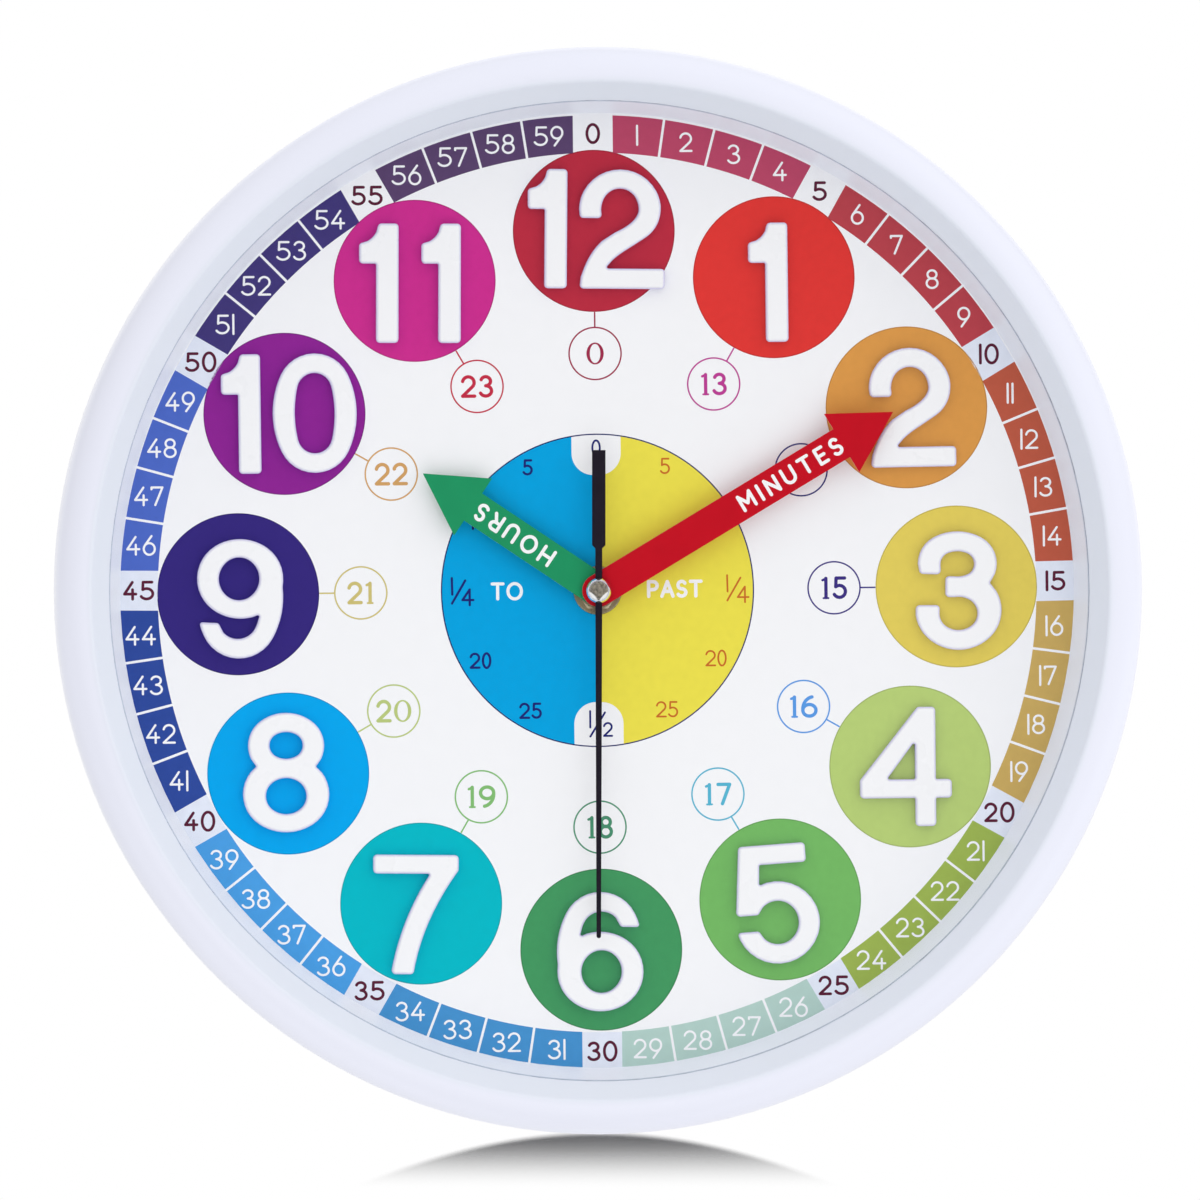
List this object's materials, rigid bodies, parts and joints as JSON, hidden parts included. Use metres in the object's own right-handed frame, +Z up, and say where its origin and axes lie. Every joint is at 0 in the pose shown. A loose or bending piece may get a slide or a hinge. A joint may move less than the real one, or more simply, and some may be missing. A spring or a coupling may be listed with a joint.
{
  "type": "teaching wall clock",
  "caption": "Round white teaching wall clock with a colour-coded dial, raised numerals, hour, minute and second hands, a clear lens and a battery quartz movement behind.",
  "frame": {"origin": "centre of the hanging keyhole's wide end, on the rear face of the back cover", "axes": "+Z up as it hangs, +Y into the wall along the keyhole's axis, +X to the right seen from the front"},
  "size_m": [0.3, 0.045, 0.3],
  "materials": {
    "case_white": "moulded gloss",
    "lens_clear": "clear moulded polystyrene",
    "spacer_white": "moulded satin",
    "print_paper": "colour print on white sheet",
    "plate_white": "sheet",
    "numeral_white": "moulded gloss",
    "hand_green": "green paint with white legend",
    "hand_red": "red paint with white legend",
    "hand_black": "black paint",
    "brass": "turned",
    "cap_chrome": "polished",
    "screw_steel": "zinc plated",
    "rubber_black": "moulded",
    "cover_white": "moulded satin",
    "movement_black": "moulded with fine grain",
    "plate_tan": "moulded",
    "gear_white": "acetal",
    "gear_ivory": "acetal",
    "knob_white": "moulded",
    "arbor_steel": "turned",
    "magnet_grey": "sintered",
    "stator_steel": "stamped",
    "winding_copper": "enamelled copper wire",
    "board_green": "solder resist",
    "crystal_steel": "drawn can",
    "chip_black": "potted",
    "contact_steel": "nickel plated spring strip",
    "battery_sleeve": "plain sleeve over a metal can"
  },
  "bodies": {
    "root": {"case_frame": "case_white", "lens": "lens_clear", "spacer_ring": "spacer_white", "dial_print": "print_paper", "dial_plate": "plate_white", "brass_washer": "brass", "hex_nut": "brass", "rubber_washer": "rubber_black", "threaded_bush": "brass", "back_cover": "cover_white", "cover_screws": "screw_steel", "movement_case": "movement_black", "movement_cover": "movement_black", "train_plate": "plate_tan", "stator": "stator_steel", "coil_core": "stator_steel", "coil_bobbin": "gear_white", "coil_winding": "winding_copper", "circuit_board": "board_green", "quartz_crystal": "crystal_steel", "timing_chip": "chip_black", "contact_positive": "contact_steel", "contact_negative": "contact_steel", "numeral_1": "numeral_white", "numeral_2": "numeral_white", "numeral_3": "numeral_white", "numeral_4": "numeral_white", "numeral_5": "numeral_white", "numeral_6": "numeral_white", "numeral_7": "numeral_white", "numeral_8": "numeral_white", "numeral_9": "numeral_white", "numeral_10": "numeral_white", "numeral_11": "numeral_white", "numeral_12": "numeral_white"},
    "hour": {"hour_wheel": "gear_white", "hour_hand": "hand_green", "hour_hand_collet": "brass"},
    "minute": {"minute_arbor": "arbor_steel", "minute_hand": "hand_red", "minute_hand_collet": "brass"},
    "setting": {"minute_wheel": "gear_ivory", "set_knob": "knob_white"},
    "second": {"second_wheel": "gear_white", "second_hand": "hand_black", "second_hand_cap": "cap_chrome"},
    "centre": {"centre_wheel": "gear_white"},
    "third": {"third_wheel": "gear_ivory"},
    "fifth": {"fifth_wheel": "gear_ivory"},
    "rotor": {"rotor": "gear_white", "rotor_magnet": "magnet_grey"},
    "cell": {"battery": "battery_sleeve"}
  },
  "joints": [
    {"name": "minute_hand_turn", "type": "hinge", "parent": "root", "child": "minute", "pos_m": [0, -0.027, -0.105], "axis": [0, 1, 0], "continuous": true},
    {"name": "hour_hand_turn", "type": "hinge", "parent": "root", "child": "hour", "pos_m": [0, -0.027, -0.105], "axis": [0, 1, 0], "continuous": true},
    {"name": "setting_knob_turn", "type": "hinge", "parent": "root", "child": "setting", "pos_m": [-0.01212, -0.008, -0.098], "axis": [0, 1, 0], "continuous": true},
    {"name": "second_hand_turn", "type": "hinge", "parent": "root", "child": "second", "pos_m": [0, -0.027, -0.105], "axis": [0, 1, 0], "continuous": true},
    {"name": "centre_wheel_turn", "type": "hinge", "parent": "root", "child": "centre", "pos_m": [0, -0.008, -0.105], "axis": [0, 1, 0], "continuous": true},
    {"name": "third_wheel_turn", "type": "hinge", "parent": "root", "child": "third", "pos_m": [0.01091, -0.008, -0.0987], "axis": [0, 1, 0], "continuous": true},
    {"name": "fifth_wheel_turn", "type": "hinge", "parent": "root", "child": "fifth", "pos_m": [-0.00194, -0.008, -0.09397], "axis": [0, 1, 0], "continuous": true},
    {"name": "rotor_turn", "type": "hinge", "parent": "root", "child": "rotor", "pos_m": [0.00256, -0.008, -0.08618], "axis": [0, 1, 0], "continuous": true},
    {"name": "battery_slide", "type": "slide", "parent": "root", "child": "cell", "axis": [0, 1, 0], "range_m": [0, 0.03]}
  ],
  "couplings": [
    {"joint": "hour_hand_turn", "follows": "minute_hand_turn", "ratio": 0.083333},
    {"joint": "setting_knob_turn", "follows": "minute_hand_turn", "ratio": -0.33333},
    {"joint": "third_wheel_turn", "follows": "second_hand_turn", "ratio": -0.125},
    {"joint": "centre_wheel_turn", "follows": "second_hand_turn", "ratio": 0.016667},
    {"joint": "fifth_wheel_turn", "follows": "second_hand_turn", "ratio": -6},
    {"joint": "rotor_turn", "follows": "second_hand_turn", "ratio": 30}
  ]
}
